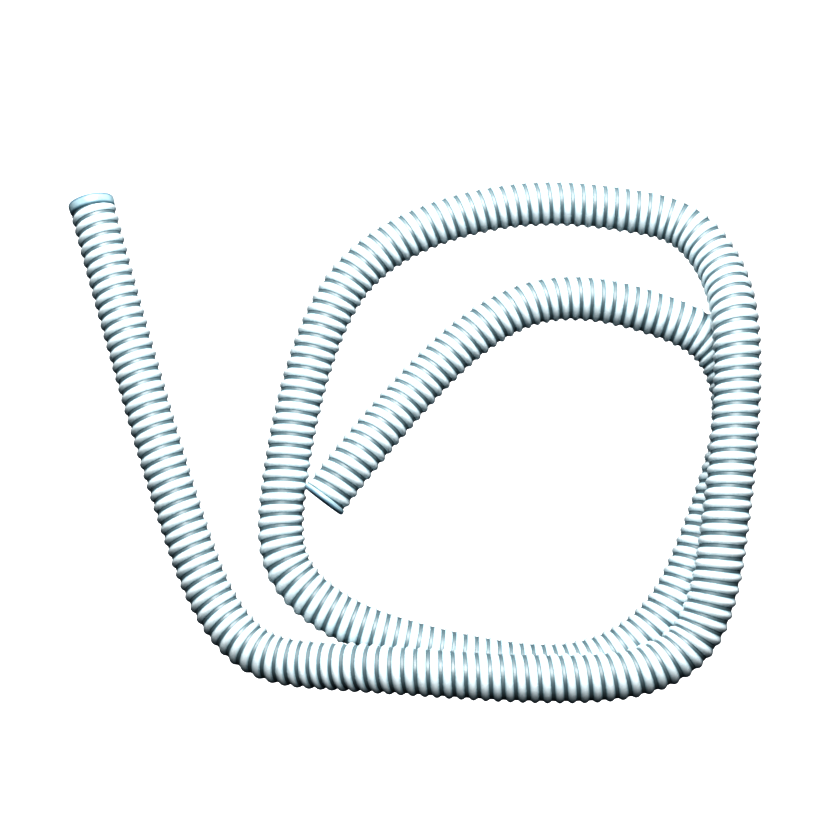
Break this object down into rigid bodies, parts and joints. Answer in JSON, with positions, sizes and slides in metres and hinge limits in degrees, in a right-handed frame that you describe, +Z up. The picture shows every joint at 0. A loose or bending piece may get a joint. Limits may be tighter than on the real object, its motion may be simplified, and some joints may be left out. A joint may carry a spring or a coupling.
{
  "type": "vacuum hose",
  "caption": "Spiral-ribbed flexible suction hose for a pool or spa vacuum, laid in loose overlapping loops, with plain sealed ends.",
  "frame": {"origin": "on the floor under the middle of the laid hose's bounding box", "axes": "+Z up from the floor; +X along the longer side of the laid loop, away from the free leg; +Y towards the free leg's open end"},
  "size_m": [0.6617, 0.496, 0.09],
  "materials": {
    "wall_film": "thin soft translucent pale blue-green film, glossy",
    "rib_white": "smooth glossy white rib",
    "end_band": "smooth pale cyan film sealed over the last turn"
  },
  "bodies": {
    "root": {"inner_wall": "wall_film", "rib_winding": "rib_white", "end_band_long": "end_band", "end_band_short": "end_band"}
  },
  "joints": []
}
